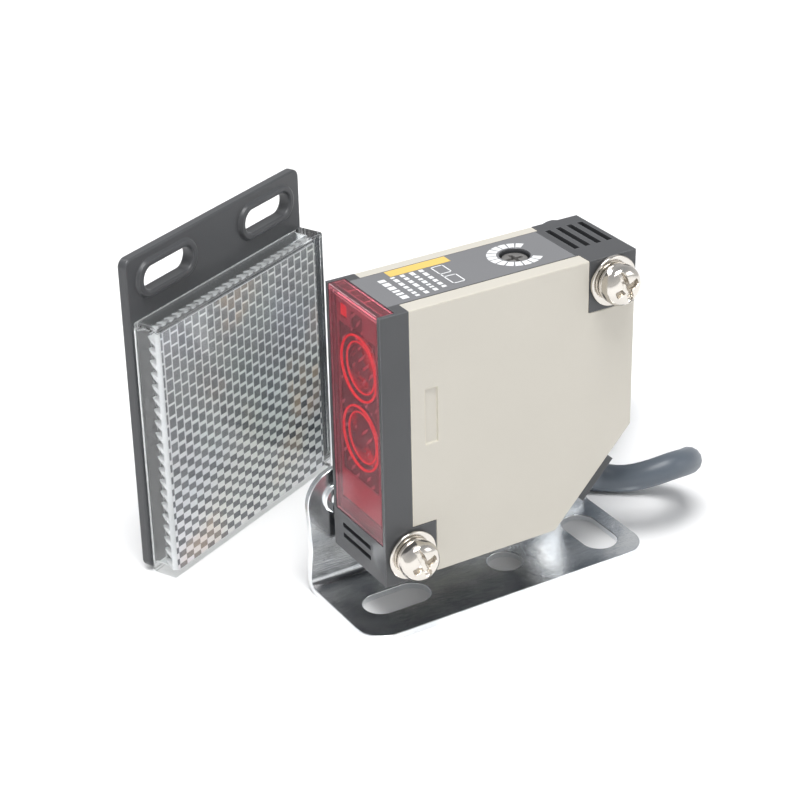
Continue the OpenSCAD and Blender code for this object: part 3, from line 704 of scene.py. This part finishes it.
def top_print():
    """Thin flat marks on the label: rows of dashes, a plain switch drawing and a ring of adjuster marks."""
    low, high, rule = HEIGHT - 0.01, HEIGHT + 0.03, 0.22
    parts = []
    random = np.random.default_rng(7)
    for row, x in enumerate((7.0, 9.4, 11.2, 13.0, 14.8)):
        y, tall = 12.6, 0.8 if row else 1.3
        while y > 4.4:
            length = float(random.uniform(0.5, 1.3))
            parts.append(block((x, max(4.2, y - length), low), (x + tall, y, high)))
            y -= length + 0.45
    for x, y0, y1 in ((17.0, 5.0, 12.4), (19.2, 5.0, 8.2), (19.2, 9.2, 12.4)):
        parts.append(block((x, y0, low), (x + rule, y1, high)))
    for y in (5.0, 8.0, 9.2, 12.2):
        parts.append(block((17.0, y, low), (19.4, y + rule, high)))
    turn = np.radians(np.linspace(40, 320, 15))
    parts += [ring_mark(a, b - 0.06, low, high) for a, b in zip(turn[:-1], turn[1:])]
    points, faces = joined(parts)
    piece("label_print", points + BODY, faces, "sensor", "label_film", FINISH["white_ink"])
    patch, patch_faces = block((9.7, 12.9, low), (21.4, 15.1, high))
    piece("label_patch", patch + BODY, [patch_faces], "sensor", "label_film", FINISH["yellow_patch"])


top_print()


# ---- Fasteners ----

def inside(value, half, soft):
    """1 within a half width of zero and 0 beyond it, with a soft edge."""
    return np.clip((half - np.abs(value)) / soft + 0.5, 0, 1)


def screw_head():
    """A pan head: its height falls off steeply near the rim, and a cross and one long slot sink in."""
    shoulder, turned = 0.9, math.radians(22)
    near_rim = 1 - 0.14 * np.linspace(1, 0, 12)[1:] ** 2
    r = np.concatenate([np.linspace(0, 0.86, 44), near_rim]) * HEAD_R
    t = np.arange(120) * TAU / 120
    x, y = r[:, None] * np.cos(t), r[:, None] * np.sin(t)
    dome = np.clip(1 - ((r / HEAD_R) ** 4.0), 0, 1) ** 0.5
    height = (shoulder + (HEAD_H - shoulder) * dome)[:, None] * np.ones_like(x)
    a = x * math.cos(turned) + y * math.sin(turned)
    b = -x * math.sin(turned) + y * math.cos(turned)
    one_bar = inside(a, 0.52, 0.18) * inside(b, 2.2, 0.3)
    other_bar = inside(b, 0.52, 0.18) * inside(a, 2.2, 0.3)
    slot = inside(a, 0.42, 0.16) * inside(b, 2.9, 0.4)
    cross = np.maximum(one_bar, other_bar) * 1.35 * (1 - 0.25 * np.hypot(a, b) / 2.2)
    top = np.stack([x, y, height - np.maximum(cross, slot * 0.75)], -1)
    skirt = [ring(HEAD_R, 0.75, t), ring(HEAD_R, 0.12, t), ring(HEAD_R - 0.15, 0, t), ring(1.9, 0, t)]
    rings = np.concatenate([top, np.stack(skirt)])
    return rings.reshape(-1, 3), [grid_faces(len(rings), len(t), False, True)]


def screw_shank():
    """A thread of rounded ridges: the radius swells and falls with the angle plus the distance along."""
    rows, sides, pitch, core_r, ridge = 260, 24, 0.7, 1.84, 0.12
    z = np.linspace(0.05, SCREW_LENGTH, rows)
    t = np.arange(sides) * TAU / sides
    wave = np.cos(TAU * z[:, None] / pitch + t[None])
    fade = np.clip((z - 2) / 2, 0, 1)[:, None] * np.clip((SCREW_LENGTH - z) / 0.6, 0, 1)[:, None]
    r = core_r + ridge * wave * fade
    points = np.stack([r * np.cos(t), r * np.sin(t), np.broadcast_to(-z[:, None], r.shape)], -1)
    tip = (rows - 1) * sides + np.arange(sides)[None]
    return points.reshape(-1, 3), [grid_faces(rows, sides, False, True), tip]


def spring_ring():
    """A split ring: a squared circle carried round almost a whole turn while it climbs."""
    rows, sides, middle_r, power, climb, gap = 90, 20, 2.83, 0.45, 0.16, 0.14
    turn = np.linspace(gap, TAU - gap, rows)[:, None]
    t = np.arange(sides) * TAU / sides
    r = middle_r + (np.sign(np.cos(t)) * np.abs(np.cos(t)) ** power * 0.65)[None]
    z = (np.sign(np.sin(t)) * np.abs(np.sin(t)) ** power * 0.40)[None] + (turn - math.pi) / TAU * climb
    points = np.stack([r * np.cos(turn), r * np.sin(turn), z * np.ones_like(r)], -1)
    ends = [np.arange(sides)[None, ::-1], (rows - 1) * sides + np.arange(sides)[None]]
    return points.reshape(-1, 3), [grid_faces(rows, sides, False, True), *ends]


def flat_ring():
    """A flat washer: a rectangle with quarter-round corners, turned about its axis."""
    inner, outer, thick, soft = 2.15, 4.5, 0.78, 0.22
    t = np.radians(np.arange(0, 91, 22.5))
    high, low = thick / 2 - soft, -thick / 2 + soft
    corners = [(outer - soft, high, 0), (inner + soft, high, 90),
               (inner + soft, low, 180), (outer - soft, low, 270)]
    profile = [(x + soft * math.cos(a + math.radians(s)), y + soft * math.sin(a + math.radians(s)))
               for x, y, s in corners for a in t]
    points, faces = lathe(profile, 96)
    return points, [faces]


def make_fasteners():
    """Each kind of fastener is one piece that holds both of its copies, one at each hole."""
    kinds = (("screw_set", "screws", ((screw_head, HEAD_SEAT), (screw_shank, HEAD_SEAT))),
             ("spring_washer_set", "spring_washers", ((spring_ring, SPRING_SEAT),)),
             ("flat_washer_set", "flat_washers", ((flat_ring, FLAT_SEAT),)))
    for name, node, shapes in kinds:
        points, faces, start = [], [], 0
        for x, z in HOLES:
            for shape, seat in shapes:
                p, blocks = shape()
                points.append(facing(p, "-y", BODY + [x, -seat, z]))
                faces += [np.asarray(b) + start for b in blocks]
                start += len(p)
        piece(name, np.concatenate(points), faces, "sensor", "nickel_steel", FINISH["nickel_plate"],
              (node,), 32)


make_fasteners()


# ---- Optics behind the window ----

def make_lens(node, height):
    """A lens: a dome that falls back with the square of the radius, in saw-toothed steps, and two red
    rings."""
    centre = BODY + np.array([0, WIDTH / 2, height])
    lens_r, front, back = 5.2, 1.7, 4.5
    r = np.linspace(0, lens_r, 60)
    dome = front + 0.8 * (r / lens_r) ** 2 + 0.35 * ((r * 1.25) % 1.0) * (r > 1.8)
    glass, glass_faces = lathe(np.vstack([np.stack([r, dome], -1), [[lens_r, back]]]), 64)
    piece(node + "_dome", facing(glass, "x", centre), [glass_faces], "sensor", "red_lens",
          FINISH["lens_dome"], (node,))
    t = np.arange(24) * TAU / 24
    rings = []
    for ring_r, at, wide, shaded_pocket in ((5.72, 1.85, 0.22, 0.25), (4.5, 2.2, 0.14, 0.2)):
        points, faces = lathe(np.stack([ring_r + wide * np.cos(t), at + shaded_pocket * np.sin(t)], -1), 96)
        rings.append((facing(points, "x", centre), faces))
    points, faces = joined(rings)
    piece(node + "_rim", points, faces, "sensor", "red_lens", FINISH["lens_rim"])


for node, height in LENS_HEIGHTS.items():
    make_lens(node, height)


# ---- Reflector ----

def on_reflector(across, up, out):
    """Places measured from the reflector's corner: across it, up it and out of its face."""
    return REFLECTOR + across[..., None] * ACROSS + up[..., None] * UP + out[..., None] * OUT


def make_reflector():
    """The clear cover, the sheet with its pattern, and rows of pyramids behind the sheet."""
    softened("reflector_block", 0.5, FINISH["clear_acrylic"], 3)
    low_u, high_u, low_v, high_v = 1.5, 46.0, 1.4, 47.9
    front, back, roots, depth = 5.05, 4.75, 4.3, 2.2
    columns, rows = 22, 20
    u, v = np.meshgrid([low_u, high_u], [low_v, high_v])
    sheet = np.vstack([on_reflector(u, v, np.full_like(u, out)).reshape(-1, 3) for out in (front, back)])
    piece("prism_face", sheet, [BLOCK_FACES], "reflector", "clear_acrylic", FINISH["prism_sheet"])
    i, j = np.meshgrid(np.arange(2 * columns + 1), np.arange(2 * rows + 1))
    u = np.pad(low_u + i * (high_u - low_u) / (2 * columns), 1, "edge")
    v = np.pad(low_v + j * (high_v - low_v) / (2 * rows), 1, "edge")
    peak = (i % 2) * (j % 2)
    out = np.pad(roots - depth * peak, 1, constant_values=back - 0.03)
    hills, faces = on_reflector(u, v, out).reshape(-1, 3), [grid_faces(*out.shape)]
    piece("prism_back", hills, faces, "reflector", "clear_acrylic", FINISH["prism_facets"], sharp=5)


make_reflector()


# ---- Pieces that keep their CAD shape ----

KEPT = {
    "filter_film": ("polarising_filters",),
    "lens_rim": ("emitter_led", "indicator_led"),
    "black_moulding": ("receiver_diode", "relay_base", "rectifier"),
    "circuit_board": ("optics_board", "main_board"),
    "clear_case": ("relay_case",),
    "copper": ("relay_coil", "supply_choke"),
    "soft_iron": ("relay_core", "relay_yoke", "relay_armature"),
    "contact_metal": ("relay_moving_contact", "relay_fixed_contact"),
    "blue_coating": ("smoothing_capacitor", "varistor", "adjuster_base"),
    "tan_coating": ("resistors", "inner_cores"),
    "zinc_clamp": ("cable_clamp",),
}
for finish, nodes in KEPT.items():
    for node in nodes:
        repaint(node, FINISH[finish])


# ---- Floor and light ----

def soft_lamp(name, at, watts, size):
    """A square lamp that faces the middle of the object."""
    data = bpy.data.lights.new(name, "AREA")
    data.energy, data.size = watts, size
    lamp = bpy.data.objects.new(name, data)
    bpy.context.scene.collection.objects.link(lamp)
    back = np.array(at) - [0, 0, 0.03]
    back /= np.linalg.norm(back)
    side = np.cross(UP, back)
    side /= np.linalg.norm(side)
    pose = np.eye(4)
    pose[:3, 0], pose[:3, 1], pose[:3, 2], pose[:3, 3] = side, np.cross(back, side), back, at
    lamp.matrix_world = Matrix(pose.tolist())


def studio():
    """A pale floor, a surround that is brightest at the horizon, and three soft lamps."""
    mesh = bpy.data.meshes.new("floor")
    mesh.from_pydata([(-4, -4, 0), (4, -4, 0), (4, 4, 0), (-4, 4, 0)], [], [(0, 1, 2, 3)])
    floor = bpy.data.objects.new("floor", mesh)
    bpy.context.scene.collection.objects.link(floor)
    made, _, shader = start_material("pale_floor", Roughness=0.8)
    shader.inputs["Base Color"].default_value = (0.92, 0.92, 0.92, 1)
    shader.inputs["Specular IOR Level"].default_value = 0.0
    mesh.materials.append(made)
    world = bpy.data.worlds.new("surround")
    bpy.context.scene.world = world
    world.use_nodes = True
    w = Wires(world.node_tree)
    height = w.split(w.add("TexCoord").outputs["Generated"])[2]
    background = world.node_tree.nodes["Background"]
    colour = w.mix(w.ramp(height, 0.0, 0.9), (1.0, 1.0, 1.0, 1), (0.55, 0.56, 0.58, 1))
    w.feed(background.inputs["Color"], colour)
    background.inputs["Strength"].default_value = 0.72
    soft_lamp("key", (-0.12, -0.22, 0.95), 9.0, 0.5)
    soft_lamp("fill", (0.6, -0.6, 0.35), 1.0, 0.4)
    soft_lamp("rim", (-0.3, 0.8, 0.6), 3.0, 0.4)


studio()
bpy.context.scene.view_settings.view_transform = "Standard"
